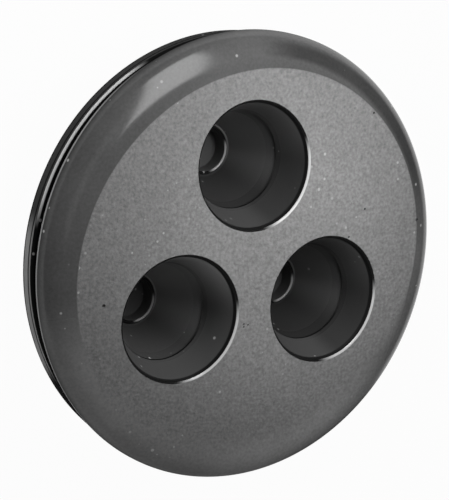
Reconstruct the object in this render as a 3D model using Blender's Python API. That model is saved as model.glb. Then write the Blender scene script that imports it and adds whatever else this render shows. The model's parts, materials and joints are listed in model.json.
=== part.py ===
"""Round rubber grommet that lines a panel cut-out and leads three cables through it.

One rubber moulding: a crowned face with a rounded shoulder, a groove that grips
the edge of the panel, a rear flange, and a cored-out back from which three hollow
nipples taper to closed tips. The axis is +Z and the part stands on its nipple
tips, so the origin is on the axis, level with the tips. Lengths are in metres,
and every depth is measured down from the top of the face.
"""

import math

import bmesh
import bpy
from mathutils import Matrix, Vector

MM = 0.001

# Panel cut-out and the two flanges that hold its edge
CUTOUT_RADIUS = 25.25 * MM
GROOVE_WIDTH = 2.4 * MM
FRONT_OVERLAP = 4.75 * MM
REAR_OVERLAP = 4.0 * MM
REAR_FLANGE_THICKNESS = 2.4 * MM
EDGE_ROUND = 0.3 * MM

# Crowned face, the rounded shoulder round it and the short upright rim below that
FACE_CROWN = 1.3 * MM
SHOULDER_WIDTH = 4.5 * MM
SHOULDER_DROP = 3.0 * MM
RIM_HEIGHT = 0.55 * MM

# Cored-out back
WEB_THICKNESS = 4.0 * MM
NECK_WALL = 2.75 * MM
RECESS_DRAFT = math.radians(3.0)
RECESS_FILLET = 0.4 * MM

# Cable holes: mouth, tapering wall, ledge, funnel and blind tip
HOLE_COUNT = 3
FIRST_HOLE_ANGLE = math.radians(90.0)
HOLE_RADIUS = 8.3 * MM
HOLE_GAP = 5.5 * MM
LIP_ROUND = 0.45 * MM
MOUTH_TAPER = 1.85 * MM
LEDGE_DEPTH = 5.5 * MM
LEDGE_WIDTH = 0.45 * MM
FUNNEL_LENGTH = 7.6 * MM
TIP_BORE_RADIUS = 3.4 * MM
TIP_BORE_LENGTH = 1.9 * MM
TIP_LIP = 0.35 * MM

# Nipple walls outside the holes
NIPPLE_WALL = 1.2 * MM
TIP_WALL = 1.2 * MM
TIP_ROUND = 0.9 * MM
NIPPLE_ROOT_FILLET = 0.5 * MM

# Facets
BODY_SEGMENTS = 72
HOLE_SEGMENTS = 40
FACE_RINGS = 3
SHOULDER_STEPS = 6
ROUND_STEPS = 2
LIP_STEPS = 3
LIP_SWEEP = math.radians(68.0)

# How far cutters and joined shapes run past the surface they meet
REACH = 1.0 * MM
ROOT_BITE = 0.04 * MM
MERGE_DISTANCE = 1e-7

RUBBER_GREY = 0.12
RUBBER_ROUGHNESS = 0.62

front_flange_radius = CUTOUT_RADIUS + FRONT_OVERLAP
rear_flange_radius = CUTOUT_RADIUS + REAR_OVERLAP
face_radius = front_flange_radius - SHOULDER_WIDTH
crown_radius = (face_radius**2 + FACE_CROWN**2) / (2.0 * FACE_CROWN)

rim_top_depth = FACE_CROWN + SHOULDER_DROP
groove_top_depth = rim_top_depth + RIM_HEIGHT
groove_bottom_depth = groove_top_depth + GROOVE_WIDTH
rear_face_depth = groove_bottom_depth + REAR_FLANGE_THICKNESS

recess_mouth_radius = CUTOUT_RADIUS - NECK_WALL
recess_height = rear_face_depth - WEB_THICKNESS
recess_root_radius = recess_mouth_radius - recess_height * math.tan(RECESS_DRAFT)

hole_pitch_radius = (HOLE_RADIUS + HOLE_GAP / 2.0) / math.sin(math.pi / HOLE_COUNT)
ledge_radius = HOLE_RADIUS - MOUTH_TAPER
funnel_top_radius = ledge_radius - LEDGE_WIDTH
funnel_top_depth = LEDGE_DEPTH + LEDGE_WIDTH / 2.0
funnel_end_depth = LEDGE_DEPTH + FUNNEL_LENGTH
tip_bore_end_depth = funnel_end_depth + TIP_BORE_LENGTH
part_height = tip_bore_end_depth + TIP_WALL


def face_depth(radius):
    """Depth of the crowned face at this distance from the axis."""
    return crown_radius - math.sqrt(crown_radius**2 - radius**2)


def arc(centre, size, start, end, steps):
    """Points (radius, depth) along an arc, or along an ellipse where size holds two radii."""
    points = []
    for step in range(steps + 1):
        angle = start + (end - start) * step / steps
        points.append((centre[0] + size[0] * math.cos(angle), centre[1] + size[1] * math.sin(angle)))
    return points


def rounded(corner, before, after, radius):
    """A convex or concave round between two straight runs that meet at a right angle."""
    centre = (corner[0] + radius * (before[0] + after[0]), corner[1] + radius * (before[1] + after[1]))
    start = math.atan2(-after[1], -after[0])
    end = math.atan2(-before[1], -before[0])
    if end - start > math.pi:
        end -= 2.0 * math.pi
    elif start - end > math.pi:
        end += 2.0 * math.pi
    return arc(centre, (radius, radius), start, end, ROUND_STEPS)


def body_outline():
    """Half section of the round body, from the top of the face to the middle of its underside."""
    inward, up, down = (-1.0, 0.0), (0.0, -1.0), (0.0, 1.0)
    outline = []
    for ring in range(FACE_RINGS):
        radius = face_radius * ring / FACE_RINGS
        outline.append((radius, face_depth(radius)))

    # The shoulder leaves the face along its slope and turns down to the rim.
    face_slope = math.asin(face_radius / crown_radius)
    outline += arc(
        (face_radius, rim_top_depth),
        (SHOULDER_WIDTH, SHOULDER_DROP),
        -math.pi / 2.0 + face_slope,
        0.0,
        SHOULDER_STEPS,
    )

    outline += rounded((front_flange_radius, groove_top_depth), up, inward, EDGE_ROUND)
    outline += [(CUTOUT_RADIUS, groove_top_depth), (CUTOUT_RADIUS, groove_bottom_depth)]
    outline += rounded((rear_flange_radius, groove_bottom_depth), inward, down, EDGE_ROUND)
    outline += rounded((rear_flange_radius, rear_face_depth), up, inward, EDGE_ROUND)

    outline += [(recess_mouth_radius, rear_face_depth)]
    outline += rounded((recess_root_radius, WEB_THICKNESS), down, inward, RECESS_FILLET)
    outline += [(0.0, WEB_THICKNESS)]
    return outline


def nipple_radius(depth):
    """Outer radius of a nipple, one wall outside the hole, at this depth."""
    if depth < LEDGE_DEPTH:
        return HOLE_RADIUS - MOUTH_TAPER * depth / LEDGE_DEPTH + NIPPLE_WALL
    along = min(1.0, (depth - LEDGE_DEPTH) / FUNNEL_LENGTH)
    return ledge_radius + (TIP_BORE_RADIUS - ledge_radius) * along + NIPPLE_WALL


def nipple_outline():
    """Half section of one solid nipple, from inside the web down to its flat tip."""
    root_end_depth = WEB_THICKNESS + NIPPLE_ROOT_FILLET
    root_radius = nipple_radius(root_end_depth)
    buried_depth = WEB_THICKNESS - REACH
    outline = [(0.0, buried_depth), (root_radius + NIPPLE_ROOT_FILLET, buried_depth)]
    outline += arc(
        (root_radius + NIPPLE_ROOT_FILLET, root_end_depth + ROOT_BITE),
        (NIPPLE_ROOT_FILLET, NIPPLE_ROOT_FILLET + 2.0 * ROOT_BITE),
        -math.pi / 2.0,
        -math.pi,
        ROUND_STEPS,
    )
    for depth in (LEDGE_DEPTH, funnel_end_depth):
        if depth > root_end_depth + ROOT_BITE:
            outline.append((nipple_radius(depth), depth))
    outline += rounded((TIP_BORE_RADIUS + NIPPLE_WALL, part_height), (0.0, -1.0), (-1.0, 0.0), TIP_ROUND)
    outline += [(0.0, part_height)]
    return outline


def hole_outline():
    """Half section of the room inside one hole, from above its mouth to its blind end."""
    lip_centre = (HOLE_RADIUS + LIP_ROUND, LIP_ROUND)
    lip = arc(lip_centre, (LIP_ROUND, LIP_ROUND), -math.pi + LIP_SWEEP, -math.pi, LIP_STEPS)
    flare = (lip[0][0] + REACH / math.tan(math.pi / 2.0 - LIP_SWEEP), lip[0][1] - REACH)
    outline = [(0.0, flare[1]), flare] + lip
    outline += [(ledge_radius, LEDGE_DEPTH), (funnel_top_radius, funnel_top_depth)]
    outline += [(TIP_BORE_RADIUS + TIP_LIP, funnel_end_depth - TIP_LIP / 2.0)]
    outline += [(TIP_BORE_RADIUS, funnel_end_depth + TIP_LIP / 2.0)]
    outline += [(TIP_BORE_RADIUS, tip_bore_end_depth), (0.0, tip_bore_end_depth)]
    return outline


def turned(name, outline, segments):
    """An object made by turning a half section of (radius, depth) points about its own Z axis."""
    mesh = bpy.data.meshes.new(name)
    shape = bmesh.new()
    corners = [shape.verts.new((radius, 0.0, part_height - depth)) for radius, depth in outline]
    edges = [shape.edges.new(pair) for pair in zip(corners, corners[1:])]
    bmesh.ops.spin(
        shape,
        geom=corners + edges,
        cent=(0.0, 0.0, 0.0),
        axis=(0.0, 0.0, 1.0),
        angle=2.0 * math.pi,
        steps=segments,
        use_merge=True,
    )
    bmesh.ops.remove_doubles(shape, verts=shape.verts, dist=MERGE_DISTANCE)
    bmesh.ops.recalc_face_normals(shape, faces=shape.faces)
    shape.to_mesh(mesh)
    shape.free()
    made = bpy.data.objects.new(name, mesh)
    bpy.context.scene.collection.objects.link(made)
    return made


def seat_on_crown(mouth):
    """Shear the mouth of a hole so that its lip keeps one height above the crowned face."""
    centre = mouth.location.xy
    for corner in mouth.data.vertices:
        depth = part_height - corner.co.z
        hold = min(1.0, max(0.0, 1.0 - depth / LEDGE_DEPTH))
        corner.co.z -= hold * face_depth((corner.co.xy + centre).length)


def join(target, tool, operation):
    """Add a Boolean of the tool to the target, and keep the tool as a wire guide."""
    change = target.modifiers.new(tool.name, "BOOLEAN")
    change.operation = operation
    change.solver = "EXACT"
    change.object = tool
    tool.hide_render = True
    tool.display_type = "WIRE"


def rubber():
    """Dark grey moulded rubber."""
    material = bpy.data.materials.new("rubber")
    material.use_nodes = True
    surface = material.node_tree.nodes["Principled BSDF"]
    surface.inputs["Base Color"].default_value = (RUBBER_GREY, RUBBER_GREY, RUBBER_GREY, 1.0)
    surface.inputs["Roughness"].default_value = RUBBER_ROUGHNESS
    surface.inputs["Metallic"].default_value = 0.0
    return material


def hole_places():
    """Centre of each hole on the pitch circle."""
    first = Vector((hole_pitch_radius, 0.0, 0.0))
    for index in range(HOLE_COUNT):
        angle = FIRST_HOLE_ANGLE + 2.0 * math.pi * index / HOLE_COUNT
        yield Matrix.Rotation(angle, 3, "Z") @ first


def build_grommet():
    """The whole grommet as one moulded body."""
    body = turned("grommet_body", body_outline(), BODY_SEGMENTS)
    body.data.materials.append(rubber())
    places = list(hole_places())
    for index, place in enumerate(places):
        nipple = turned(f"nipple_{index + 1}", nipple_outline(), HOLE_SEGMENTS)
        nipple.location = place
        join(body, nipple, "UNION")
    for index, place in enumerate(places):
        hole = turned(f"hole_{index + 1}", hole_outline(), HOLE_SEGMENTS)
        hole.location = place
        seat_on_crown(hole)
        join(body, hole, "DIFFERENCE")
    body.data.shade_smooth()
    body.data.set_sharp_from_angle(angle=math.radians(30.0))
    return body


for old in list(bpy.data.objects):
    bpy.data.objects.remove(old)

build_grommet()
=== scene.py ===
"""Rubber cable entry grommet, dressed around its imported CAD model.

The whole object is one rubber moulding, so one piece replaces the one CAD node.
It is turned from the same half sections as the solid, with finer rounds, by a
Geometry Nodes tree that also sets the nipples and the holes round the axis.
Lengths are in metres, the axis is +Z, and the part stands on its nipple tips.
Every depth is measured down from the top of the face.
"""

from __future__ import annotations

import json
import logging
import math
from collections.abc import Callable, Sequence
from dataclasses import dataclass
from enum import Enum

import bmesh
import bpy
from mathutils import Matrix, Vector

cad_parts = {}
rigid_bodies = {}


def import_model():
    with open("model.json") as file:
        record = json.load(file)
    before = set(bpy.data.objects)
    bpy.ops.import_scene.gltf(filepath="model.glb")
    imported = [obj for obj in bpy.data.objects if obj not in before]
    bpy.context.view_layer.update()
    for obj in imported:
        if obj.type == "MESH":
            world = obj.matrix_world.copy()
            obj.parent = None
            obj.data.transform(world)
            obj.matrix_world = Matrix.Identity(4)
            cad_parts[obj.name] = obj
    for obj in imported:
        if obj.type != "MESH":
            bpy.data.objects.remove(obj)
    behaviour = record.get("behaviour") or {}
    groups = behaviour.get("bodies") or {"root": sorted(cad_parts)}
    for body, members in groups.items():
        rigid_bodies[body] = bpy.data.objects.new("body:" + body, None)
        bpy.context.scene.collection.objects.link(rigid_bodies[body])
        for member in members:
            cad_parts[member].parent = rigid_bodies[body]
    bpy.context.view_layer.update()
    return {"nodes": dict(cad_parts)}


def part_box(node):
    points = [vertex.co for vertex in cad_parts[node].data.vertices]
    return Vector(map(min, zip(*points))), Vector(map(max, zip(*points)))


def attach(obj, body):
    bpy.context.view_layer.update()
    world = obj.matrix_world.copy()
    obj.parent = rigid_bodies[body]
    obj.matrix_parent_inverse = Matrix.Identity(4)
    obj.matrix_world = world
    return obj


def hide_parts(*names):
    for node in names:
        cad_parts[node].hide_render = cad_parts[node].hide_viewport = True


MM = 0.001
NODE = "grommet_body"
HOLE_COUNT = 3
FIRST_HOLE_ANGLE = math.radians(90.0)
HOLE_GAP = 5.5 * MM
MERGE_DISTANCE = 1e-6
CREASE_ANGLE = math.radians(20.0)
SOCKET_KINDS = {
    int: "NodeSocketInt",
    float: "NodeSocketFloat",
    bpy.types.Object: "NodeSocketObject",
    bpy.types.Material: "NodeSocketMaterial",
}

log = logging.getLogger("grommet")

Point = tuple[float, float]
Section = list[Point]
Span = tuple[float, float]
Socket = bpy.types.NodeSocket


class Cut(Enum):
    """How one solid changes another."""

    ADD = "UNION"
    REMOVE = "DIFFERENCE"


class Sum(Enum):
    """The node settings of one Math operation."""

    ADD = "ADD"
    SUBTRACT = "SUBTRACT"
    MULTIPLY = "MULTIPLY"
    DIVIDE = "DIVIDE"
    MODULO = "FLOORED_MODULO"
    SMALLER = "MINIMUM"
    LARGER = "MAXIMUM"
    LESS = "LESS_THAN"
    MORE = "GREATER_THAN"
    ROOT = "SQRT"
    COSINE = "COSINE"
    SINE = "SINE"
    ANGLE = "ARCTAN2"
    SIZE = "ABSOLUTE"
    FLOOR = "FLOOR"


def operator(kind: Sum, flipped: bool = False) -> Callable[..., Term]:
    """A method of Term that adds the Math node of one operation.

    Args:
        kind: The operation.
        flipped: Whether the term itself comes last, as in 1 - mask.

    Returns:
        The method.
    """

    def method(self: Term, *others: Term | float) -> Term:
        """Do the operation on this term and the other, if there is one."""
        values = (*others, self) if flipped else (self, *others)
        return self.graph.sum(kind, *values)

    return method


class Term:
    """One number in a node tree, written in ordinary expressions.

    A comparison is one where it holds and zero elsewhere.
    """

    __add__ = __radd__ = operator(Sum.ADD)
    __mul__ = __rmul__ = operator(Sum.MULTIPLY)
    __sub__ = operator(Sum.SUBTRACT)
    __rsub__ = operator(Sum.SUBTRACT, flipped=True)
    __truediv__ = operator(Sum.DIVIDE)
    __mod__ = operator(Sum.MODULO)
    __lt__ = operator(Sum.LESS)
    __gt__ = operator(Sum.MORE)
    least = operator(Sum.SMALLER)
    most = operator(Sum.LARGER)
    root = operator(Sum.ROOT)
    cos = operator(Sum.COSINE)
    sin = operator(Sum.SINE)
    size = operator(Sum.SIZE)
    floor = operator(Sum.FLOOR)

    def __init__(self, graph: Graph, socket: Socket) -> None:
        """Wrap a socket of a graph."""
        self.graph = graph
        self.socket = socket

    def clamp(self) -> Term:
        """The value held between zero and one."""
        return self.least(1.0).most(0.0)

    def ramp(self, low: float, high: float) -> Term:
        """A smooth step from zero at low to one at high, or down where low is the larger.

        Args:
            low: The value at which the step starts.
            high: The value at which it ends.

        Returns:
            A term from zero to one.
        """
        along = ((self - low) / (high - low)).clamp()
        return along * along * (3.0 - 2.0 * along)
    def past(self, edge: float, span: Span) -> Term:
        """A smooth step whose start and end are measured from an edge."""
        return self.ramp(edge + span[0], edge + span[1])


Feed = Term | Socket | float | Sequence[float]


class Graph:
    """A node tree that is filled in by code."""

    def __init__(self, tree: bpy.types.NodeTree) -> None:
        """Wrap a shader tree or a Geometry Nodes tree."""
        self.tree = tree

    def node(
        self,
        kind: str,
        settings: dict[str, object] | None = None,
        inputs: dict[str | int, object] | None = None,
    ) -> bpy.types.Node:
        """Add a node of any type.

        Args:
            kind: The node's type name.
            settings: Its properties, set before its sockets.
            inputs: Values or links of its sockets, by name or by place.

        Returns:
            The new node.
        """
        made = self.tree.nodes.new(kind)
        for name, value in (settings or {}).items():
            setattr(made, name, value)
        for key, value in (inputs or {}).items():
            self.feed(made.inputs[key], value)
        return made

    def feed(self, socket: Socket, value: object) -> None:
        """Link a term or a socket to an input, or set the input to a plain value."""
        if isinstance(value, Term):
            self.tree.links.new(value.socket, socket)
        elif isinstance(value, Socket):
            self.tree.links.new(value, socket)
        elif isinstance(value, (list, tuple)) and not isinstance(value[0], (int, float)):
            for item in value:
                self.feed(socket, item)
        else:
            socket.default_value = value

    def sum(self, kind: Sum, *values: Term | float) -> Term:
        """Add one Math node.

        Args:
            kind: The operation.
            values: One or two terms or numbers.

        Returns:
            The node's result.
        """
        made = self.node("ShaderNodeMath", {"operation": kind.value}, dict(enumerate(values)))
        return Term(self, made.outputs[0])

    def angle(self, y: Term, x: Term) -> Term:
        """The angle of a direction, from minus to plus half a turn."""
        return self.sum(Sum.ANGLE, y, x)

    def split(self, vector: Socket) -> tuple[Term, Term, Term]:
        """The three parts of a vector."""
        made = self.node("ShaderNodeSeparateXYZ", {}, {0: vector})
        return tuple(Term(self, socket) for socket in made.outputs)

    def vector(self, x: Term | float, y: Term | float, z: Term | float) -> Socket:
        """A vector of three parts."""
        return self.node("ShaderNodeCombineXYZ", {}, {0: x, 1: y, 2: z}).outputs[0]

    def mix(self, share: Term, plain: Feed, full: Feed) -> Term:
        """A number that goes from plain to full as share goes from zero to one."""
        made = self.node("ShaderNodeMix", {"data_type": "FLOAT"}, {0: share, 2: plain, 3: full})
        return Term(self, made.outputs[0])

    def lay(self, base: Feed, *coats: tuple[Term, Feed]) -> Term:
        """Lay coats over a base in turn, each a mask and the level where the mask is one."""
        for mask, level in coats:
            base = self.mix(mask, base, level)
        return base

    def length(self, x: Term, y: Term) -> Term:
        """The length of a vector of two parts."""
        return (x * x + y * y).root()

    def end(self, kind: str, result: Socket) -> None:
        """Link a result to the first input of the tree's output node."""
        self.tree.links.new(result, self.node(kind).inputs[0])


def emptied(owner: bpy.types.Material | bpy.types.World) -> Graph:
    """The node tree of a new material or world, with nothing in it."""
    owner.use_nodes = True
    owner.node_tree.nodes.clear()
    return Graph(owner.node_tree)


def swing(noise: Term, size: float) -> Term:
    """Noise from zero to one as a swing to each side of zero."""
    return (noise - 0.5) * (2.0 * size)


def towards(x: Term, y: Term, angle: float) -> Term:
    """How far a place lies in a direction."""
    return x * math.cos(angle) + y * math.sin(angle)

def arc(centre: Point, size: Point, start: float, end: float, steps: int) -> Section:
    """Points along an arc or a piece of an ellipse.

    Args:
        centre: Radius and depth of its centre.
        size: Its two half widths.
        start: First angle, in radians.
        end: Last angle, in radians.
        steps: How many steps lead from one to the other.

    Returns:
        The points, with both ends.
    """
    points = []
    for step in range(steps + 1):
        angle = start + (end - start) * step / steps
        points.append((centre[0] + size[0] * math.cos(angle), centre[1] + size[1] * math.sin(angle)))
    return points


def rounded(corner: Point, before: Point, after: Point, radius: float, steps: int) -> Section:
    """A round in place of a right-angled corner.

    Args:
        corner: The corner that the round replaces.
        before: Unit direction from the corner back along the first run.
        after: Unit direction from the corner along the second run.
        radius: Radius of the round.
        steps: Steps along it.

    Returns:
        The points of the round.
    """
    centre = (corner[0] + radius * (before[0] + after[0]), corner[1] + radius * (before[1] + after[1]))
    start = math.atan2(-after[1], -after[0])
    end = math.atan2(-before[1], -before[0])
    if end - start > math.pi:
        end -= 2.0 * math.pi
    elif start - end > math.pi:
        end += 2.0 * math.pi
    return arc(centre, (radius, radius), start, end, steps)


def stretch(start: Point, end: Point, steps: int) -> Section:
    """Points along a straight run, without its first one."""
    return [
        (start[0] + (end[0] - start[0]) * step / steps, start[1] + (end[1] - start[1]) * step / steps)
        for step in range(1, steps + 1)
    ]


INWARD: Point = (-1.0, 0.0)
UP: Point = (0.0, -1.0)
DOWN: Point = (0.0, 1.0)


@dataclass(frozen=True)
class RoundBody:
    """The crowned face, its shoulder, the panel groove, the rear flange and the cored-out back."""

    cutout_radius: float = 25.25 * MM
    groove_width: float = 2.4 * MM
    front_overlap: float = 4.75 * MM
    rear_overlap: float = 4.0 * MM
    rear_flange_thickness: float = 2.4 * MM
    rear_front_round: float = 0.6 * MM
    parting_depth: float = 0.12 * MM
    parting_width: float = 0.2 * MM
    edge_round: float = 0.3 * MM
    face_crown: float = 1.3 * MM
    shoulder_width: float = 4.5 * MM
    shoulder_drop: float = 3.0 * MM
    rim_height: float = 0.55 * MM
    web_thickness: float = 4.0 * MM
    neck_wall: float = 2.75 * MM
    recess_draft: float = math.radians(3.0)
    recess_fillet: float = 0.4 * MM
    face_rings: int = 22
    shoulder_steps: int = 30
    round_steps: int = 6
    segments: int = 240

    @property
    def front_radius(self) -> float:
        """Radius of the front flange."""
        return self.cutout_radius + self.front_overlap

    @property
    def rear_radius(self) -> float:
        """Radius of the rear flange."""
        return self.cutout_radius + self.rear_overlap

    @property
    def face_radius(self) -> float:
        """Radius at which the face turns into the shoulder."""
        return self.front_radius - self.shoulder_width

    @property
    def crown_radius(self) -> float:
        """Radius of the sphere that the face is part of."""
        return (self.face_radius**2 + self.face_crown**2) / (2.0 * self.face_crown)

    @property
    def groove_depth(self) -> float:
        """Depth of the front flange's back face."""
        return self.face_crown + self.shoulder_drop + self.rim_height

    @property
    def rear_front_depth(self) -> float:
        """Depth of the rear flange's front face."""
        return self.groove_depth + self.groove_width

    @property
    def rear_face_depth(self) -> float:
        """Depth of the rear flange's back face."""
        return self.rear_front_depth + self.rear_flange_thickness

    @property
    def parting_line_depth(self) -> float:
        """Depth of the middle of the mould's parting line round the rear flange."""
        return self.rear_front_depth + self.rear_front_round + self.parting_width

    def face_depth(self, radius: float) -> float:
        """Depth of the crowned face at a distance from the axis."""
        return self.crown_radius - math.sqrt(self.crown_radius**2 - radius**2)

    def front_depth(self, radius: float) -> float:
        """Depth of the face or the shoulder at a distance from the axis."""
        if radius <= self.face_radius:
            return self.face_depth(radius)
        along = (radius - self.face_radius) / self.shoulder_width
        return self.face_crown + self.shoulder_drop * (1.0 - math.sqrt(1.0 - along**2))

    def section(self) -> Section:
        """Half section from the top of the face round to the middle of the recess."""
        steps = self.round_steps
        front, rear, neck = self.front_radius, self.rear_radius, self.cutout_radius
        groove_top = self.groove_depth
        groove_end = groove_top + self.groove_width
        rings = [self.face_radius * ring / self.face_rings for ring in range(self.face_rings)]
        points = [(radius, self.face_depth(radius)) for radius in rings]
        slope = math.asin(self.face_radius / self.crown_radius)
        points += arc(
            (self.face_radius, self.face_crown + self.shoulder_drop),
            (self.shoulder_width, self.shoulder_drop),
            slope - math.pi / 2.0,
            0.0,
            self.shoulder_steps,
        )
        points += rounded((front, groove_top), UP, INWARD, self.edge_round, steps)
        points += [(neck, groove_top), (neck, groove_end)]
        points += rounded((rear, groove_end), INWARD, DOWN, self.rear_front_round, steps + 4)
        line, half = self.parting_line_depth, self.parting_width / 2.0
        points += [(rear, line - half), (rear - self.parting_depth, line), (rear, line + half)]
        points += rounded((rear, self.rear_face_depth), UP, INWARD, self.edge_round, steps)
        mouth = neck - self.neck_wall
        height = self.rear_face_depth - self.web_thickness
        root = mouth - height * math.tan(self.recess_draft)
        points += [(mouth, self.rear_face_depth)]
        points += rounded((root, self.web_thickness), DOWN, INWARD, self.recess_fillet, steps)
        points += [(0.0, self.web_thickness)]
        return points


@dataclass(frozen=True)
class CableHole:
    """One blind, stepped hole and the hollow nipple round it."""

    radius: float = 8.3 * MM
    lip_round: float = 0.45 * MM
    lip_sweep: float = math.radians(68.0)
    mouth_taper: float = 1.85 * MM
    ledge_depth: float = 5.5 * MM
    undercut: float = 0.15 * MM
    undercut_depth: float = 0.35 * MM
    funnel_length: float = 7.6 * MM
    tip_radius: float = 3.4 * MM
    tip_length: float = 1.9 * MM
    bore_radius: float = 2.9 * MM
    tip_bead: float = 0.22 * MM
    wall: float = 1.2 * MM
    tip_wall: float = 1.2 * MM
    tip_round: float = 0.9 * MM
    root_fillet: float = 0.5 * MM
    reach: float = 1.0 * MM
    root_bite: float = 0.04 * MM
    round_steps: int = 8
    wall_steps: int = 8
    segments: int = 120

    @property
    def ledge_radius(self) -> float:
        """Radius at the outer edge of the ledge."""
        return self.radius - self.mouth_taper

    @property
    def funnel_end_depth(self) -> float:
        """Depth at which the funnel meets the tip's bore."""
        return self.ledge_depth + self.funnel_length

    @property
    def bead_depth(self) -> float:
        """Depth of the middle of the bead round the tip's bore."""
        return self.funnel_end_depth - self.tip_bead

    @property
    def bore_end_depth(self) -> float:
        """Depth of the closed end of the tip's bore."""
        return self.funnel_end_depth + self.tip_length

    @property
    def nipple_length(self) -> float:
        """Depth of the nipple's flat tip."""
        return self.bore_end_depth + self.tip_wall

    def outer_radius(self, depth: float) -> float:
        """Outer radius of the nipple at a depth."""
        if depth < self.ledge_depth:
            return self.radius - self.mouth_taper * depth / self.ledge_depth + self.wall
        along = min(1.0, (depth - self.ledge_depth) / self.funnel_length)
        return self.ledge_radius + (self.tip_radius - self.ledge_radius) * along + self.wall

    def room(self) -> Section:
        """Half section of the space inside the hole, from above its mouth to its blind end."""
        steps = self.round_steps
        centre = (self.radius + self.lip_round, self.lip_round)
        size = (self.lip_round, self.lip_round)
        lip = arc(centre, size, self.lip_sweep - math.pi, -math.pi, 2 * steps)
        flare = (
            lip[0][0] + self.reach / math.tan(math.pi / 2.0 - self.lip_sweep),
            lip[0][1] - self.reach,
        )
        points = [(0.0, flare[1]), flare] + lip
        ledge_edge = (self.ledge_radius, self.ledge_depth)
        points += stretch(lip[-1], ledge_edge, self.wall_steps)
        funnel_top = (self.ledge_radius + self.undercut, self.ledge_depth + self.undercut_depth)
        points += [(self.ledge_radius, self.ledge_depth + self.undercut_depth / 2.0), funnel_top]
        bead_centre = (self.bore_radius + self.tip_bead, self.bead_depth)
        funnel_foot = (self.tip_radius + self.tip_bead, self.bead_depth)
        points += stretch(funnel_top, funnel_foot, self.wall_steps)
        points += arc(bead_centre, (self.tip_bead, self.tip_bead), 0.0, -math.pi, 2 * steps)
        points += [(self.bore_radius, self.bore_end_depth), (0.0, self.bore_end_depth)]
        return points

    def nipple(self, web_thickness: float) -> Section:
        """Half section of the solid nipple behind the web.

        Args:
            web_thickness: Depth of the web's back, from which the nipple stands.

        Returns:
            Points from inside the web down to the flat tip.
        """
        root_end = web_thickness + self.root_fillet
        root = self.outer_radius(root_end) + self.root_fillet
        buried = web_thickness - self.reach
        points = [(0.0, buried), (root, buried)]
        points += arc(
            (root, root_end + self.root_bite),
            (self.root_fillet, self.root_fillet + 2.0 * self.root_bite),
            -math.pi / 2.0,
            -math.pi,
            self.round_steps,
        )
        for depth in (self.ledge_depth, self.funnel_end_depth):
            points.append((self.outer_radius(depth), depth))
        tip = (self.tip_radius + self.wall, self.nipple_length)
        points += rounded(tip, UP, INWARD, self.tip_round, self.round_steps)
        points += [(0.0, self.nipple_length)]
        return points


@dataclass(frozen=True)
class GrainedFace:
    """The finely grained, matt skin of the crowned face, with painted light and shade on its grey."""

    shade: float = 0.17
    roughness: float = 0.8
    grain_scale: float = 2600.0
    grain_height: float = 0.1 * MM
    speckle_scale: float = 2500.0
    speckle: float = 0.46
    blotch_scale: float = 1000.0
    blotch: float = 0.14
    cloud_scale: float = 110.0
    cloud: float = 0.05
    border_round: float = 25.9 * MM
    border_waves: tuple[tuple[int, float, float], ...] = (
        (1, 0.42 * MM, -0.33 * MM),
        (2, 0.35 * MM, 0.52 * MM),
    )
    border_blur: float = 0.12 * MM
    fade_angle: float = math.radians(-85.0)
    fade_range: Span = (0.3, 0.85)
    fade_width: float = 3.4 * MM
    # Painted light: the face's grey is raised round a place near the middle.
    painted_light_place: Span = (5.0 * MM, -2.0 * MM)
    painted_light_reach: Span = (30.0 * MM, 10.0 * MM)
    clean: float = 0.34
    # Painted shade: the face's grey is lowered towards the lower left.
    painted_dimming_angle: float = math.radians(235.0)
    painted_dimming_reach: Span = (8.0 * MM, 22.0 * MM)
    painted_dimming: float = 0.15


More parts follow.
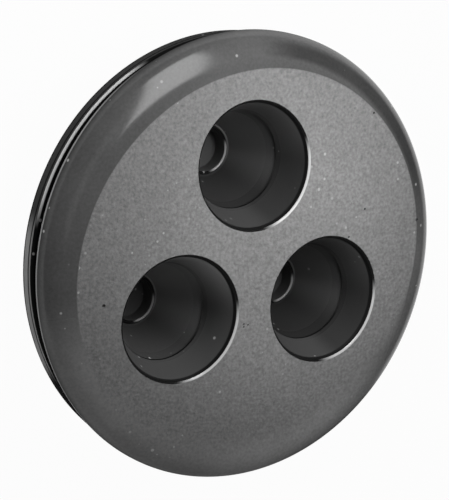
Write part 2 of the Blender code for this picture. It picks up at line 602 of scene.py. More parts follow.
@dataclass(frozen=True)
class SmoothRubber:
    """The smooth skin of the shoulder, flanges, back and holes, with painted light, shade, highlights and
    reflections laid on it.
    """

    shade: float = 0.078
    roughness: float = 0.17
    refraction: float = 1.41
    mottle: float = 0.2
    # Painted light and shade in the holes: a lighter crescent on the near wall, a darker far wall that is
    # lighter above, a funnel darker at its foot and lighter above, and the left hole lighter.
    hole_painted_light_and_shade: float = 0.061
    far_wall_painted_shade: float = 0.033
    upper_wall_painted_light: float = 0.11
    funnel_foot_painted_shade: float = 0.027
    funnel_painted_shade: float = 0.09
    unlit_painted_light: float = 0.17
    left_hole_painted_light: float = 0.9
    # Painted light in the tip's bore, which lies in shade.
    tip_painted_light: float = 0.07
    hole_roughness: float = 0.5
    back_shade: float = 0.045
    back_roughness: float = 0.75
    # Painted shadow: the near-black grey of the groove, the parting line, the flanges' shaded corners and
    # back edges, and the ledge, moat, rim and lip lines of the holes.
    painted_shadow_grey: float = 0.008
    dark_roughness: float = 0.9
    # Painted light on the shoulder at the bottom, where it is also matt.
    haze_and_light_angle: float = math.radians(255.0)
    haze_and_light_half: float = math.radians(72.0)
    haze_and_painted_light: float = 1.25
    haze_roughness: float = 0.85
    haze_reach: Span = (24.8 * MM, 26.8 * MM)
    # Painted light on the shoulder at the lower right, which also eases the painted shade at its outer edge.
    pale_angle: float = math.radians(-50.0)
    pale_half: float = math.radians(60.0)
    pale: float = 0.5
    # Painted light and shade: the top hole's crescent darker and the other two lighter.
    near_wall_painted_swing: float = 0.11
    crescent_angle: float = math.radians(-110.0)
    crescent_range: Span = (0.68, 0.93)
    upper_wall_range: Span = (-0.1, 0.8)
    funnel_range: Span = (-0.85, -0.1)
    unlit_range: Span = (0.0, 0.8)
    left_range: Span = (0.4, 0.8)
    flat: float = 0.04
    # Painted shade towards the shoulder's outer edge, which is also matt there.
    outer_reach: Span = (3.0 * MM, 4.5 * MM)
    outer_painted_shade: float = 0.6
    outer_matt: float = 0.85
    dark_matt: float = 0.9
    # A painted dark reflection on a band of the shoulder at the upper right.
    band_angle: float = math.radians(48.0)
    band_half: float = math.radians(40.0)
    band_inner: Span = (26.6 * MM, 27.4 * MM)
    band_outer: Span = (29.2 * MM, 28.4 * MM)
    band_painted_dark_reflection: float = 0.5
    # Painted highlight along the front flange's back corner, on its left side.
    edge_angle: float = math.radians(185.0)
    edge_half: float = math.radians(70.0)
    edge_painted_highlight: float = 0.32
    edge_roughness: float = 0.16
    # Painted highlights on the lit side of each lip and of the tip's bead.
    lip_painted_highlight: float = 0.55
    bead_painted_highlight: float = 0.34
    lit_angle: float = math.radians(-37.0)
    lit_swing: float = math.radians(7.0)
    lit_range: Span = (0.6, 0.86)


@dataclass(frozen=True)
class FlangePaintedLight:
    """A painted highlight on the rear flange's front corner, a painted reflection on one stretch of its wall
    and painted shade on the next.
    """

    # Painted highlight on the rear flange's front corner.
    painted_highlight_angle: float = math.radians(141.0)
    painted_highlight_half: float = math.radians(27.0)
    painted_highlight_shade: float = 0.8
    # Painted reflection on a stretch of the rear flange's wall.
    painted_reflection_angle: float = math.radians(187.0)
    painted_reflection_half: float = math.radians(24.0)
    painted_reflection_shade: float = 0.3
    # Painted shade on the next stretch of the rear flange's wall.
    painted_dark_angle: float = math.radians(205.0)
    painted_dark_half: float = math.radians(42.0)
    painted_shadow_grey: float = 0.015


@dataclass(frozen=True)
class Dust:
    """White specks of dust that lie on the rubber."""

    shade: float = 0.42
    scale: float = 900.0
    radius: float = 0.17
    softness: float = 0.1
    share: float = 0.4
    smooth_share: float = 0.12


@dataclass(frozen=True)
class Pits:
    """Small pits in the skin, each a place on the front and a radius."""

    places: tuple[tuple[float, float, float], ...] = (
        (26.71 * MM, 2.50 * MM, 0.24 * MM),
        (-22.14 * MM, -3.25 * MM, 0.24 * MM),
        (17.57 * MM, 5.16 * MM, 0.17 * MM),
        (14.94 * MM, 1.66 * MM, 0.15 * MM),
        (19.14 * MM, 17.91 * MM, 0.17 * MM),
        (-1.62 * MM, -8.10 * MM, 0.14 * MM),
        (-1.62 * MM, -8.50 * MM, 0.14 * MM),
        (-0.98 * MM, -8.30 * MM, 0.13 * MM),
    )
    # The pits are painted dark, as painted shade in their hollows.
    shade: float = 0.03


@dataclass(frozen=True)
class Zones:
    """Where the zones of the skin start and end, from the edges of the shape beside them, among them the
    zones of painted shadow, highlight and light.
    """

    hair: float = 0.02 * MM
    grain_gap: Span = (0.09 * MM, 0.17 * MM)
    front_end: Span = (4.4 * MM, 3.4 * MM)
    front_margin: float = 0.5 * MM
    back_start: Span = (4.6 * MM, 4.9 * MM)
    pits_end: float = 4.0 * MM
    outer_width: float = 1.5 * MM
    lip_share: float = 0.45
    lip_width: float = 0.2 * MM
    lip_end: float = 0.4 * MM
    lip_line_end: Span = (0.24 * MM, 0.16 * MM)
    mouth_start: float = 0.35 * MM
    tip_margin: float = 0.6 * MM
    rim_start: Span = (0.3 * MM, 0.42 * MM)
    rim_end: Span = (0.85 * MM, 0.65 * MM)
    rim_width: float = 0.6 * MM
    funnel_start: Span = (-0.02 * MM, 0.06 * MM)
    ledge_line: Span = (0.24 * MM, 0.14 * MM)
    ledge_side: Span = (-0.3, -0.75)
    ledge_end: float = 0.05 * MM
    tip_start_beads: float = 3.0
    bead_beads: float = 1.3
    moat_beads: float = 2.3
    edge_size: float = 0.3 * MM
    edge_line: Span = (0.32 * MM, 0.2 * MM)
    wall_start: float = 0.42 * MM
    wall_width: float = 0.4 * MM
    flange_start: float = 0.01 * MM
    flange_width: float = 0.7 * MM
    corner_end: Span = (0.42 * MM, 0.32 * MM)
    # Where the painted highlight on the rear flange's corner starts and ends.
    painted_highlight_start: Span = (0.05 * MM, 0.11 * MM)
    painted_highlight_end: Span = (0.38 * MM, 0.3 * MM)
    parting_widths: float = 1.4
    back_edge_start: float = 0.55 * MM
    back_edge: Span = (0.0, 0.2 * MM)


@dataclass(frozen=True)
class Spot:
    """Where the shaded point lies. The parts named hole are about the nearest hole's axis."""

    graph: Graph
    place: Socket
    x: Term
    y: Term
    radius: Term
    angle: Term
    depth: Term
    below_face: Term
    hole_distance: Term
    hole_angle: Term
    hole_x: Term
    hole_y: Term

@dataclass
class RubberSkin:
    """The material of the moulding, with one finish for each zone and painted light, shade and highlights
    over many of them.
    """

    body: RoundBody
    hole: CableHole
    pitch: float
    height: float
    face: GrainedFace = GrainedFace()
    smooth: SmoothRubber = SmoothRubber()
    # Painted highlight, reflection and shade on the rear flange.
    flange_painted_light: FlangePaintedLight = FlangePaintedLight()
    dust: Dust = Dust()
    pits: Pits = Pits()
    zones: Zones = Zones()

    def inside_border(self, graph: Graph, radius: Term, angle: Term) -> Term:
        """One where the face is grained, falling to zero across its border.

        Args:
            graph: The material's tree.
            radius: Distance from the axis.
            angle: Direction from the axis.

        Returns:
            A term from zero to one, with a sharp step where the border is crisp and a wide
            one where the grain runs out over the shoulder.
        """
        face = self.face
        edge = graph.sum(Sum.ADD, face.border_round, 0.0)
        for count, along, across in face.border_waves:
            edge = edge + (angle * count).cos() * along + (angle * count).sin() * across
        fade = (angle - face.fade_angle).cos().ramp(*face.fade_range) * face.fade_width
        step = ((edge - radius) / (fade + face.border_blur) * 0.5 + 0.5).clamp()
        return step * step * (3.0 - 2.0 * step)

    def in_pits(self, graph: Graph, x: Term, y: Term) -> Term:
        """One inside a pit and zero elsewhere."""
        found = graph.sum(Sum.ADD, 0.0, 0.0)
        for across, up, size in self.pits.places:
            found = found.most(graph.length(x - across, y - up).ramp(size, 0.7 * size))
        return found

    def noise(self, graph: Graph, place: Feed, scale: float, detail: float) -> Term:
        """Fine noise on object coordinates, from zero to one."""
        made = graph.node(
            "ShaderNodeTexNoise",
            {"noise_dimensions": "3D"},
            {"Vector": place, "Scale": scale, "Detail": detail, "Roughness": 0.55},
        )
        return Term(graph, made.outputs[0])

    def around(self, angle: Term, centre: float, half: float) -> Term:
        """One at a direction from the axis, falling to zero at half an angle on each side."""
        return (angle - centre).cos().ramp(math.cos(half), 1.0 - 0.4 * (1.0 - math.cos(half)))

    def specks(self, graph: Graph, place: Feed, share: Term) -> Term:
        """One inside a speck of dust and zero elsewhere."""
        cells = graph.node(
            "ShaderNodeTexVoronoi",
            {"feature": "F1", "voronoi_dimensions": "3D"},
            {"Vector": place, "Scale": self.dust.scale, "Randomness": 1.0},
        )
        size, strength, chance = graph.split(cells.outputs["Color"])
        near = Term(graph, cells.outputs["Distance"])
        limit = self.dust.radius * (0.5 + size)
        inside = ((limit - near) / self.dust.softness).clamp()
        return inside * (chance < share) * (0.15 + 0.85 * strength)

    def spot(self, graph: Graph) -> Spot:
        """Work out where the shaded point lies, with the three holes folded onto one."""
        place = graph.node("ShaderNodeTexCoord").outputs["Object"]
        x, y, z = graph.split(place)
        radius = graph.length(x, y)
        angle = graph.angle(y, x)
        turn = 2.0 * math.pi / HOLE_COUNT
        folded = (angle - FIRST_HOLE_ANGLE + turn / 2.0) % turn - turn / 2.0
        hole_distance = graph.length(radius * folded.cos() - self.pitch, radius * folded.sin())
        hole_angle = angle - folded
        depth = self.height - z
        below_face = depth - (radius * radius) * (1.0 / (2.0 * self.body.crown_radius))
        hole_x = (x - hole_angle.cos() * self.pitch) / hole_distance
        hole_y = (y - hole_angle.sin() * self.pitch) / hole_distance
        about_hole = (hole_distance, hole_angle, hole_x, hole_y)
        return Spot(graph, place, x, y, radius, angle, depth, below_face, *about_hole)

    def hole_masks(self, at: Spot) -> dict[str, Term]:
        """Where the zones in and round the holes lie.

        Args:
            at: The shaded point.

        Returns:
            Terms from zero to one, by the zones' names.
        """
        hole, smooth, zones = self.hole, self.smooth, self.zones
        lip_edge = hole.radius + zones.lip_share * hole.lip_round
        turned = at.hole_angle.sin() * smooth.lit_swing + smooth.lit_angle
        lit = (at.hole_x * turned.cos() + at.hole_y * turned.sin()).ramp(*smooth.lit_range)
        inside = (at.hole_distance < hole.radius + zones.hair) * (at.below_face > zones.mouth_start)
        inside = inside * (at.below_face < hole.nipple_length - zones.tip_margin)
        rim = at.below_face.ramp(*zones.rim_start) * at.below_face.ramp(*zones.rim_end)
        lip = (at.hole_distance < lip_edge + zones.lip_width) * (at.below_face < zones.lip_end)
        ledge = (hole.ledge_depth - at.depth).ramp(*zones.ledge_line) * at.hole_y.ramp(*zones.ledge_side)
        in_tip = inside * (at.depth > hole.bead_depth - zones.tip_start_beads * hole.tip_bead)
        widths = {
            "tip": zones.hair,
            "bead": zones.bead_beads * hole.tip_bead,
            "moat": zones.moat_beads * hole.tip_bead,
        }
        rings = {
            name: in_tip * (at.hole_distance < hole.bore_radius + width) for name, width in widths.items()
        }
        # The ledge, moat, rim and lip masks take painted shadow, the bead and lip line masks painted
        # highlights on the lit side, the tip mask painted light, and the crescent mask the lighter painted
        # part of the wall.
        return rings | {
            "inside": inside,
            "outside": at.hole_distance.past(lip_edge, zones.grain_gap),
            "crescent": towards(at.hole_x, at.hole_y, smooth.crescent_angle).ramp(*smooth.crescent_range),
            "left": (at.hole_angle.cos() * -1.0).ramp(*smooth.left_range),
            "deep": at.depth.past(hole.ledge_depth, zones.funnel_start),
            "ledge": inside * ledge * (at.depth < hole.ledge_depth + zones.ledge_end),
            "rim": inside * rim * (at.hole_distance > hole.radius - zones.rim_width),
            "lip": lip,
            "lip line": lip * lit * at.below_face.ramp(*zones.lip_line_end),
            "lit": lit,
        }

    def flange_masks(self, at: Spot) -> dict[str, Term]:
        """Where the zones of the two flanges' edges and the groove lie.

        Args:
            at: The shaded point.

        Returns:
            Terms from zero to one, by the zones' names.
        """
        body, smooth, flange_painted_light, zones = self.body, self.smooth, self.flange_painted_light, self.zones
        edge = (at.depth - body.groove_depth + zones.edge_size).size().ramp(*zones.edge_line)
        edge = edge * (at.radius > body.front_radius - zones.edge_size)
        edge_side = self.around(at.angle, smooth.edge_angle, smooth.edge_half)
        back_wall = (at.depth > body.groove_depth - zones.wall_start) * (1.0 - edge_side)
        back_wall = back_wall * (at.radius > body.front_radius - zones.wall_width)
        flange = at.depth > body.rear_front_depth - zones.flange_start
        flange = flange * (at.radius > body.rear_radius - zones.flange_width)
        past_front = at.depth - body.rear_front_depth
        corner = flange * past_front.ramp(*zones.corner_end)
        painted_highlight = flange * past_front.ramp(*zones.painted_highlight_end) * past_front.ramp(*zones.painted_highlight_start)
        groove = (at.depth > body.groove_depth - zones.hair) * (past_front < zones.hair)
        parting = (at.depth - body.parting_line_depth).size()
        parting = parting.ramp(zones.parting_widths * body.parting_width, 0.0)
        back_edge = (at.depth - body.rear_face_depth + zones.back_edge_start).ramp(*zones.back_edge)
        # The edge mask and the bright corner mask are painted highlights, the light mask a painted
        # reflection, and the dark and lines masks painted shade and shadow.
        return {
            "edge": edge * edge_side,
            "painted_highlight": painted_highlight * self.around(at.angle, flange_painted_light.painted_highlight_angle, flange_painted_light.painted_highlight_half),
            "light": flange * (1.0 - corner) * self.around(at.angle, flange_painted_light.painted_reflection_angle, flange_painted_light.painted_reflection_half),
            "dark": flange * self.around(at.angle, flange_painted_light.painted_dark_angle, flange_painted_light.painted_dark_half),
            "lines": (flange * parting.most(back_edge)).most(corner).most(groove).most(back_wall),
        }

    def shoulder_shade(self, at: Spot, haze_and_painted_light: Term, outer: Term) -> Term:
        """The grey of the shoulder: painted light at the bottom, where it is also hazed, and at the lower
        right, painted shade towards its outer edge, and a painted dark reflection in a band at the upper
        right.
        """
        smooth = self.smooth
        band = self.around(at.angle, smooth.band_angle, smooth.band_half)
        band = band * at.radius.ramp(*smooth.band_inner) * at.radius.ramp(*smooth.band_outer)
        pale = self.around(at.angle, smooth.pale_angle, smooth.pale_half)
        shade = smooth.shade * (1.0 + haze_and_painted_light * smooth.haze_and_painted_light) * (1.0 + pale * smooth.pale)
        shade = shade * (1.0 - outer * (1.0 - pale) * smooth.outer_painted_shade)
        return shade * (1.0 - band * smooth.band_painted_dark_reflection)

    def hole_painted_light_and_shade(self, at: Spot, holes: dict[str, Term]) -> Term:
        """The grey of a hole's wall and, below its ledge, of its funnel, as painted light and shade."""
        graph, smooth = at.graph, self.smooth
        painted_light_gain = 1.0 + holes["left"] * smooth.left_hole_painted_light
        upper = at.hole_y.ramp(*smooth.upper_wall_range)
        far_wall = graph.mix(upper, smooth.far_wall_painted_shade, smooth.upper_wall_painted_light) * painted_light_gain
        near_wall = smooth.hole_painted_light_and_shade * (1.0 - at.hole_angle.sin() * smooth.near_wall_painted_swing)
        funnel = graph.lay(
            smooth.funnel_foot_painted_shade,
            (at.hole_y.ramp(*smooth.funnel_range), smooth.funnel_painted_shade),
            (at.hole_y.ramp(*smooth.unlit_range), smooth.unlit_painted_light),
        )
        mouth = graph.mix(holes["crescent"], far_wall, near_wall)
        return graph.mix(holes["deep"], mouth, funnel * painted_light_gain)

    def face_shade(self, at: Spot, mottle: Term, cloud: Term) -> Term:
        """The speckled grey of the grained face, with painted light round a place near the middle and
        painted shade towards the lower left.
        """
        face = self.face
        blotch = self.noise(at.graph, at.place, face.blotch_scale, 1.0)
        speckle = 1.0 + swing(mottle, face.speckle) + swing(cloud, face.cloud) + swing(blotch, face.blotch)
        # Painted light round a place near the middle, painted shade towards the lower left.
        clean = at.graph.length(at.x - face.painted_light_place[0], at.y - face.painted_light_place[1])
        clean = clean.ramp(*face.painted_light_reach)
        painted_dimming = towards(at.x, at.y, face.painted_dimming_angle).ramp(*face.painted_dimming_reach)
        return face.shade * (speckle * (1.0 + clean * face.clean - painted_dimming * face.painted_dimming))

    def build(self) -> bpy.types.Material:
        """Make the material, as coats of grey and of roughness over bare rubber; many grey coats are painted
        light, shade, shadow and highlights.
        """
        material = bpy.data.materials.new("grommet_rubber")
        graph = emptied(material)
        at = self.spot(graph)
        body, face, smooth, flange_painted_light, zones = self.body, self.face, self.smooth, self.flange_painted_light, self.zones
        holes, flange = self.hole_masks(at), self.flange_masks(at)
        inside, painted_highlight = holes["inside"], flange["painted_highlight"]
        black = flange["dark"].most(flange["lines"])
        on_back = at.depth.ramp(*zones.back_start)
        on_front = at.below_face.ramp(*zones.front_end) * (at.depth < body.groove_depth - zones.front_margin)
        grained = self.inside_border(graph, at.radius, at.angle) * holes["outside"] * on_front
        # Where the shoulder is painted lighter and made matt, at the bottom.
        haze_and_painted_light = self.around(at.angle, smooth.haze_and_light_angle, smooth.haze_and_light_half)
        outer = at.depth.ramp(*smooth.outer_reach)
        hazy = haze_and_painted_light * at.radius.ramp(*smooth.haze_reach) * (at.depth < body.groove_depth)

        fine = self.noise(graph, at.place, face.grain_scale, 2.0)
        cloud = self.noise(graph, at.place, face.cloud_scale, 2.0)
        mottle = self.noise(graph, at.place, face.speckle_scale, 1.0)
        plain = 1.0 + swing(mottle, smooth.mottle) + swing(cloud, smooth.mottle)
        dust_share = graph.mix(grained, self.dust.smooth_share, self.dust.share)
        shade = graph.lay(
            graph.mix(on_back, self.shoulder_shade(at, haze_and_painted_light, outer), smooth.back_shade) * plain,
            # Painted shade on one stretch of the rear flange and a painted reflection on the next.
            (flange["dark"], flange_painted_light.painted_shadow_grey),
            (flange["light"], flange_painted_light.painted_reflection_shade),
            # Painted shadow in the groove and along the flanges' corners, parting line and back edges.
            (flange["lines"], smooth.painted_shadow_grey),
            # Painted highlight on the rear flange's front corner.
            (painted_highlight, flange_painted_light.painted_highlight_shade),
            # Painted highlight on the front flange's back corner.
            (flange["edge"], smooth.edge_painted_highlight),
            # Painted light and shade on the walls and funnels of the holes.
            (inside, self.hole_painted_light_and_shade(at, holes)),
            # Painted shadow at the ledge and round the tip's bead.
            (holes["ledge"], smooth.painted_shadow_grey),
            (holes["moat"], smooth.painted_shadow_grey),
            # Painted highlight on the lit side of the tip's bead.
            (holes["bead"] * holes["lit"], smooth.bead_painted_highlight),
            # Painted light in the tip's bore.
            (holes["tip"], smooth.tip_painted_light),
            # Painted shadow just inside each rim and on each lip.
            (holes["rim"], smooth.painted_shadow_grey),
            (holes["lip"], smooth.painted_shadow_grey),
            # Painted highlight on the lit side of each lip.
            (holes["lip line"], smooth.lip_painted_highlight),
            (grained, self.face_shade(at, mottle, cloud)),
            # Painted shade in the pits.
            (self.in_pits(graph, at.x, at.y) * (at.below_face < zones.pits_end), self.pits.shade),
            (self.specks(graph, at.place, dust_share), self.dust.shade),
        )
        shiny = holes["lip line"].most(painted_highlight).most(holes["bead"] * (1.0 - holes["tip"]))
        rough = graph.lay(
            smooth.roughness,
            (hazy, smooth.haze_roughness),
            (on_back, smooth.back_roughness),
            (black, smooth.dark_roughness),
            (inside, smooth.hole_roughness),
            (shiny, smooth.edge_roughness),
            (grained, face.roughness),
        )
        matt = (outer * (at.radius > body.front_radius - zones.outer_width)).most(hazy) * smooth.outer_matt
        matt = matt.most(black * (1.0 - painted_highlight) * smooth.dark_matt)

        grain = graph.mix(grained, (fine - 0.5) * smooth.flat, fine - 0.5)
        bump = graph.node(
            "ShaderNodeBump",
            {},
            {"Strength": 1.0, "Distance": face.grain_height, "Height": grain},
        )
        grey = graph.node("ShaderNodeCombineColor", {}, {0: shade, 1: shade, 2: shade})
        shared = {"Base Color": grey.outputs[0], "Normal": bump.outputs[0]}
        glossy = shared | {"Roughness": rough, "IOR": smooth.refraction}
        chalky = shared | {"Roughness": 1.0, "Specular IOR Level": 0.0}
        skins = [graph.node("ShaderNodeBsdfPrincipled", {}, kind).outputs[0] for kind in (glossy, chalky)]
        skin = graph.node("ShaderNodeMixShader", {}, {0: matt, 1: skins[0], 2: skins[1]})
        graph.end("ShaderNodeOutputMaterial", skin.outputs[0])
        return material


def section_object(name: str, section: Section, height: float) -> bpy.types.Object:
    """A line in the XZ plane that a tree turns about the axis.

    Args:
        name: Name of the new object.
        section: Points of radius and depth.
        height: Height of the part, from which depths are measured down.

    Returns:
        An object that is never rendered.
    """
    mesh = bpy.data.meshes.new(name)
    corners = [(radius, 0.0, height - depth) for radius, depth in section]
    mesh.from_pydata(corners, [(i, i + 1) for i in range(len(corners) - 1)], [])
    made = bpy.data.objects.new(name, mesh)
    bpy.context.scene.collection.objects.link(made)
    made.hide_render = True
    return made


def turning_group() -> bpy.types.NodeTree:
    """A node group that turns a line in the XZ plane into a closed surface."""
    tree = bpy.data.node_groups.new("turned section", "GeometryNodeTree")
    tree.interface.new_socket("Section", in_out="INPUT", socket_type="NodeSocketGeometry")
    tree.interface.new_socket("Segments", in_out="INPUT", socket_type="NodeSocketInt")
    tree.interface.new_socket("Surface", in_out="OUTPUT", socket_type="NodeSocketGeometry")
    graph = Graph(tree)
    start = graph.node("NodeGroupInput")
    section = start.outputs["Section"]
    segments = Term(graph, start.outputs["Segments"])
    count = graph.node("GeometryNodeAttributeDomainSize", {"component": "MESH"}, {0: section})
    columns = segments + 1.0
    grid = graph.node(
        "GeometryNodeMeshGrid",
        {},
        {"Vertices X": count.outputs["Point Count"], "Vertices Y": columns},
    )
    index = Term(graph, graph.node("GeometryNodeInputIndex").outputs[0])
    row = ((index + 0.5) / columns).floor()
    column = index - row * columns
    turn = column * (2.0 * math.pi) / segments
    sample = graph.node(
        "GeometryNodeSampleIndex",
        {"data_type": "FLOAT_VECTOR", "domain": "POINT"},
        {
            "Geometry": section,
            "Value": graph.node("GeometryNodeInputPosition").outputs[0],
            "Index": row,
        },
    )
    radius, _, height = graph.split(sample.outputs[0])
    place = graph.vector(radius * turn.cos(), radius * turn.sin(), height)
    placed = graph.node(
        "GeometryNodeSetPosition",
        {},
        {"Geometry": grid.outputs["Mesh"], "Position": place},
    )
    merged = graph.node(
        "GeometryNodeMergeByDistance",
        {},
        {"Geometry": placed.outputs[0], "Distance": MERGE_DISTANCE},
    )
    graph.end("NodeGroupOutput", merged.outputs[0])
    return tree


@dataclass
class Grommet:
    """The rubber moulding: a round body with three nipples added and three holes taken out."""

    height: float
    body: RoundBody = RoundBody()
    hole: CableHole = CableHole()

    @property
    def pitch(self) -> float:
        """Radius of the circle on which the holes lie."""
        return (self.hole.radius + HOLE_GAP / 2.0) / math.sin(math.pi / HOLE_COUNT)

    def tree(self, values: dict[str, object]) -> bpy.types.NodeTree:
        """The Geometry Nodes tree that makes the whole moulding from its sections.

        Args:
            values: The inputs that the tree gets besides the body's section, by name.

        Returns:
            The tree, with one named input for each value.
        """
        turned = turning_group()
        tree = bpy.data.node_groups.new("grommet", "GeometryNodeTree")
        tree.interface.new_socket("Body Section", in_out="INPUT", socket_type="NodeSocketGeometry")
        for name, value in values.items():
            tree.interface.new_socket(name, in_out="INPUT", socket_type=SOCKET_KINDS[type(value)])
        tree.interface.new_socket("Moulding", in_out="OUTPUT", socket_type="NodeSocketGeometry")
        graph = Graph(tree)
        start = graph.node("NodeGroupInput").outputs
        first = graph.vector(0.0, 0.0, Term(graph, start["First Angle"]))
        ring = graph.node(
            "GeometryNodeMeshCircle",
            {"fill_type": "NONE"},
            {"Vertices": start["Hole Count"], "Radius": start["Pitch Radius"]},
        )
        places = graph.node("GeometryNodeTransform", {}, {"Geometry": ring.outputs[0], "Rotation": first})

        def turn(section: Socket, segments: Socket) -> Socket:
            """Turn one section about its own axis."""
            made = graph.node("GeometryNodeGroup", {"node_tree": turned}, {0: section, 1: segments})
            return made.outputs[0]

        def spread(section: str) -> Socket:
            """Turn the section of one object and set a copy at each hole's place."""
            line = graph.node("GeometryNodeObjectInfo", {}, {"Object": start[section]})
            shape = turn(line.outputs["Geometry"], start["Hole Segments"])
            copies = graph.node(
                "GeometryNodeInstanceOnPoints",
                {},
                {"Points": places.outputs[0], "Instance": shape},
            )
            return graph.node("GeometryNodeRealizeInstances", {}, {0: copies.outputs[0]}).outputs[0]

        def combine(
            base: Socket,
            tool: Socket,
            cut: Cut,
        ) -> Socket:
            """Add a tool to a base or take it away."""
            inputs = {1: [base, tool]} if cut is Cut.ADD else {0: base, 1: tool}
            settings = {"operation": cut.value, "solver": "EXACT"}
            return graph.node("GeometryNodeMeshBoolean", settings, inputs).outputs[0]

        # The mouth of each hole is sheared so that its lip keeps one height above the face
        holes = spread("Hole Section")
        x, y, z = graph.split(graph.node("GeometryNodeInputPosition").outputs[0])
        crown = Term(graph, start["Crown Radius"])
        fall = crown - (crown * crown - (x * x + y * y)).root()
        depth = Term(graph, start["Height"]) - z
        hold = (1.0 - depth / Term(graph, start["Ledge Depth"])).clamp()
        seated = graph.node(
            "GeometryNodeSetPosition",
            {},
            {"Geometry": holes, "Offset": graph.vector(0.0, 0.0, fall * hold * -1.0)},
        )
        flat = graph.node("GeometryNodeTriangulate", {}, {0: seated.outputs[0]})

        marks = graph.node("GeometryNodeObjectInfo", {}, {"Object": start["Pit Places"]})
        size = graph.node("GeometryNodeInputNamedAttribute", {"data_type": "FLOAT"}, {"Name": "size"})
        ball = graph.node("GeometryNodeMeshIcoSphere", {}, {"Radius": 1.0, "Subdivisions": 3})
        pits = graph.node(
            "GeometryNodeInstanceOnPoints",
            {},
            {
                "Points": marks.outputs["Geometry"],
                "Instance": ball.outputs["Mesh"],
                "Scale": size.outputs[0],
            },
        )
        hollows = graph.node("GeometryNodeRealizeInstances", {}, {0: pits.outputs[0]})

        disc = turn(start["Body Section"], start["Body Segments"])
        solid = combine(disc, spread("Nipple Section"), Cut.ADD)
        pierced = combine(combine(solid, flat.outputs[0], Cut.REMOVE), hollows.outputs[0], Cut.REMOVE)
        real = graph.node("GeometryNodeRealizeInstances", {}, {0: pierced})
        skinned = graph.node(
            "GeometryNodeSetMaterial",
            {},
            {"Geometry": real.outputs[0], "Material": start["Skin"]},
        )
        graph.end("NodeGroupOutput", skinned.outputs[0])
        return tree

    def pit_places(self) -> bpy.types.Object:
        """One point on the front for each pit, with its radius as an attribute."""
        places = Pits().places
        mesh = bpy.data.meshes.new("pit_places")
        points = []
        for x, y, _ in places:
            points.append((x, y, self.height - self.body.front_depth(math.hypot(x, y))))
        mesh.from_pydata(points, [], [])
        sizes = mesh.attributes.new("size", "FLOAT", "POINT")
        for item, (_, _, size) in zip(sizes.data, places):
            item.value = size
        made = bpy.data.objects.new("pit_places", mesh)
        bpy.context.scene.collection.objects.link(made)
        made.hide_render = True
        return made

    def build(self) -> bpy.types.Object:
        """Run the tree and keep its result as one plain mesh."""
        skin = RubberSkin(self.body, self.hole, self.pitch, self.height).build()
        line = section_object("grommet_moulding", self.body.section(), self.height)
        nipple = section_object("nipple_line", self.hole.nipple(self.body.web_thickness), self.height)
        room = section_object("hole_line", self.hole.room(), self.height)
        pits = self.pit_places()
        values = {
            "Nipple Section": nipple,
            "Hole Section": room,
            "Pit Places": pits,
            "Body Segments": self.body.segments,
            "Hole Segments": self.hole.segments,
            "Hole Count": HOLE_COUNT,
            "First Angle": FIRST_HOLE_ANGLE,
            "Pitch Radius": self.pitch,
            "Height": self.height,
            "Crown Radius": self.body.crown_radius,
            "Ledge Depth": self.hole.ledge_depth,
            "Skin": skin,
        }
        tree = self.tree(values)
        change = line.modifiers.new("grommet", "NODES")
        change.node_group = tree
        for socket in tree.interface.items_tree:
            if socket.name in values:
                change[socket.identifier] = values[socket.name]
        seen = bpy.context.evaluated_depsgraph_get()
        mesh = bpy.data.meshes.new_from_object(line.evaluated_get(seen))
        line.modifiers.remove(change)
        for spare in (line, nipple, room, pits):
            bpy.data.objects.remove(spare)
        mesh.name = "grommet_moulding"
        self.face_outwards(mesh)
        mesh.shade_smooth()
        mesh.set_sharp_from_angle(angle=CREASE_ANGLE)
        made = bpy.data.objects.new("grommet_moulding", mesh)
        bpy.context.scene.collection.objects.link(made)
        return made

    def face_outwards(self, mesh: bpy.types.Mesh) -> None:
        """Merge doubles and point every face out of the rubber."""
        shape = bmesh.new()
        shape.from_mesh(mesh)
        bmesh.ops.remove_doubles(shape, verts=shape.verts, dist=MERGE_DISTANCE)
        bmesh.ops.dissolve_degenerate(shape, edges=shape.edges, dist=MERGE_DISTANCE)
        bmesh.ops.recalc_face_normals(shape, faces=shape.faces)
        if shape.calc_volume(signed=True) < 0.0:
            bmesh.ops.reverse_faces(shape, faces=shape.faces)
        shape.to_mesh(mesh)
        open_edges = sum(1 for edge in shape.edges if len(edge.link_faces) != 2)
        log.info("grommet_moulding: %d faces, %d open edges", len(shape.faces), open_edges)
        shape.free()


@dataclass(frozen=True)
class Softbox:
    """A studio lamp, placed and turned by directions as the camera sees them."""

    name: str
    direction: tuple[float, float, float]
    distance: float
    width: float
    length: float
    along: tuple[float, float, float]
    level: float
    glossy: bool = True


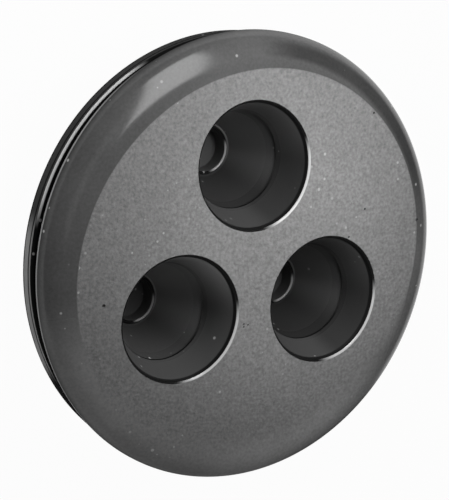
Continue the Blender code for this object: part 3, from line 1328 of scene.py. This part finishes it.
@dataclass
class Studio:
    """Camera, lamps, world and floor."""

    camera_place: tuple[float, float, float] = (-0.19126, 0.08586, 0.31495)
    camera_turn: tuple[float, float, float] = (-13.767, -31.804, 0.780)
    lens: float = 201.6
    lamp_target: tuple[float, float, float] = (0.0, 0.0, 0.015)
    fill: float = 0.09
    floor_half: float = 3.0
    floor_shade: float = 0.4
    floor_glow: float = 0.97
    lamps: tuple[Softbox, ...] = (
        Softbox("key_softbox", (0.388, 0.557, 0.734), 0.073, 0.029, 0.069, (-0.608, 0.754, -0.251), 0.9),
        Softbox("side_card", (0.75, 0.38, 0.54), 0.06, 0.03, 0.03, (1.0, 0.0, 0.0), 0.44, False),
        Softbox("front_strip", (0.36, 0.05, 0.93), 0.4, 0.12, 0.31, (-0.51, -0.85, 0.12), 0.035),
        Softbox("left_card", (-0.683, -0.683, 0.259), 0.5, 0.3, 0.3, (0.0, 0.0, 1.0), 0.58, False),
        Softbox(
            "rim_card", (-0.766, 0.4945, 0.4105), 0.0607, 0.008, 0.04, (-0.491, -0.849, 0.106), 0.1, False
        ),
    )

    def turn(self) -> Matrix:
        """The camera's rotation."""
        x, y, z = (math.radians(angle) for angle in self.camera_turn)
        return Matrix.Rotation(z, 3, "Z") @ Matrix.Rotation(y, 3, "Y") @ Matrix.Rotation(x, 3, "X")

    def camera(self) -> None:
        """Set up the camera at the photograph's place."""
        data = bpy.data.cameras.new("camera")
        data.lens = self.lens
        data.clip_start = 0.01
        data.clip_end = 20.0
        made = bpy.data.objects.new("camera", data)
        made.location = self.camera_place
        made.rotation_euler = [math.radians(angle) for angle in self.camera_turn]
        bpy.context.scene.collection.objects.link(made)
        bpy.context.scene.camera = made

    def lamp(self, box: Softbox) -> None:
        """Hang one softbox so that it lights the part at its level.

        Args:
            box: Its place, size and level; a level of one lights a facing surface at one.
        """
        data = bpy.data.lights.new(box.name, "AREA")
        data.shape = "RECTANGLE"
        data.size = box.length
        data.size_y = box.width
        data.energy = box.level * math.pi * math.pi * box.distance**2
        made = bpy.data.objects.new(box.name, data)
        away = self.turn() @ Vector(box.direction).normalized()
        made.location = Vector(self.lamp_target) + away * box.distance
        across = away.cross(self.turn() @ Vector(box.along)).normalized()
        made.rotation_euler = Matrix((across.cross(away), across, away)).transposed().to_euler()
        made.visible_camera = False
        made.visible_glossy = box.glossy
        bpy.context.scene.collection.objects.link(made)

    def world(self) -> None:
        """A plain fill from all round, with white behind the part."""
        world = bpy.data.worlds.new("studio")
        graph = emptied(world)
        rays = graph.node("ShaderNodeLightPath").outputs
        level = graph.mix(Term(graph, rays["Is Camera Ray"]), self.fill, 1.0)
        back = graph.node("ShaderNodeBackground", {}, {"Color": (1.0, 1.0, 1.0, 1.0), "Strength": level})
        graph.end("ShaderNodeOutputWorld", back.outputs[0])
        bpy.context.scene.world = world

    def floor(self) -> bpy.types.Object:
        """A plain pale floor level with the nipple tips."""
        half = self.floor_half
        mesh = bpy.data.meshes.new("floor")
        places = [(-half, -half, 0.0), (half, -half, 0.0), (half, half, 0.0), (-half, half, 0.0)]
        mesh.from_pydata(places, [], [(0, 1, 2, 3)])
        made = bpy.data.objects.new("floor", mesh)
        bpy.context.scene.collection.objects.link(made)
        material = bpy.data.materials.new("floor")
        graph = emptied(material)
        rays = graph.node("ShaderNodeLightPath").outputs
        seen = Term(graph, rays["Is Camera Ray"]).most(Term(graph, rays["Is Glossy Ray"]))
        shade = self.floor_shade
        matt = graph.node("ShaderNodeBsdfDiffuse", {}, {"Color": (shade, shade, shade, 1.0)})
        glow = graph.node("ShaderNodeEmission", {}, {"Color": (1.0, 1.0, 1.0, 1.0), "Strength": 1.0})
        both = graph.node(
            "ShaderNodeMixShader",
            {},
            {0: seen * self.floor_glow, 1: matt.outputs[0], 2: glow.outputs[0]},
        )
        graph.end("ShaderNodeOutputMaterial", both.outputs[0])
        mesh.materials.append(material)
        return made

    def build(self) -> None:
        """Make the whole studio."""
        self.camera()
        for box in self.lamps:
            self.lamp(box)
        self.world()
        self.floor()
        bpy.context.scene.view_settings.view_transform = "Standard"


def corners(box: tuple[Vector, Vector]) -> list[list[float]]:
    """A box as two plain lists of numbers."""
    return [[float(value) for value in corner] for corner in box]


def main() -> None:
    """Load the frame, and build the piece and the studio."""
    logging.basicConfig(level=logging.INFO, format="%(name)s: %(message)s")
    for old in list(bpy.data.objects):
        bpy.data.objects.remove(old)
    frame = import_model()

    log.info("frame holds the nodes %s", ", ".join(sorted(frame["nodes"])))
    _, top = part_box(NODE)
    moulding = Grommet(height=top.z).build()
    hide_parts(NODE)
    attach(moulding, "root")
    log.info("%s stands for %s", moulding.name, NODE)

    Studio().build()
    log.info("camera, lamps, world and floor are in place")


if __name__ == "__main__":
    main()
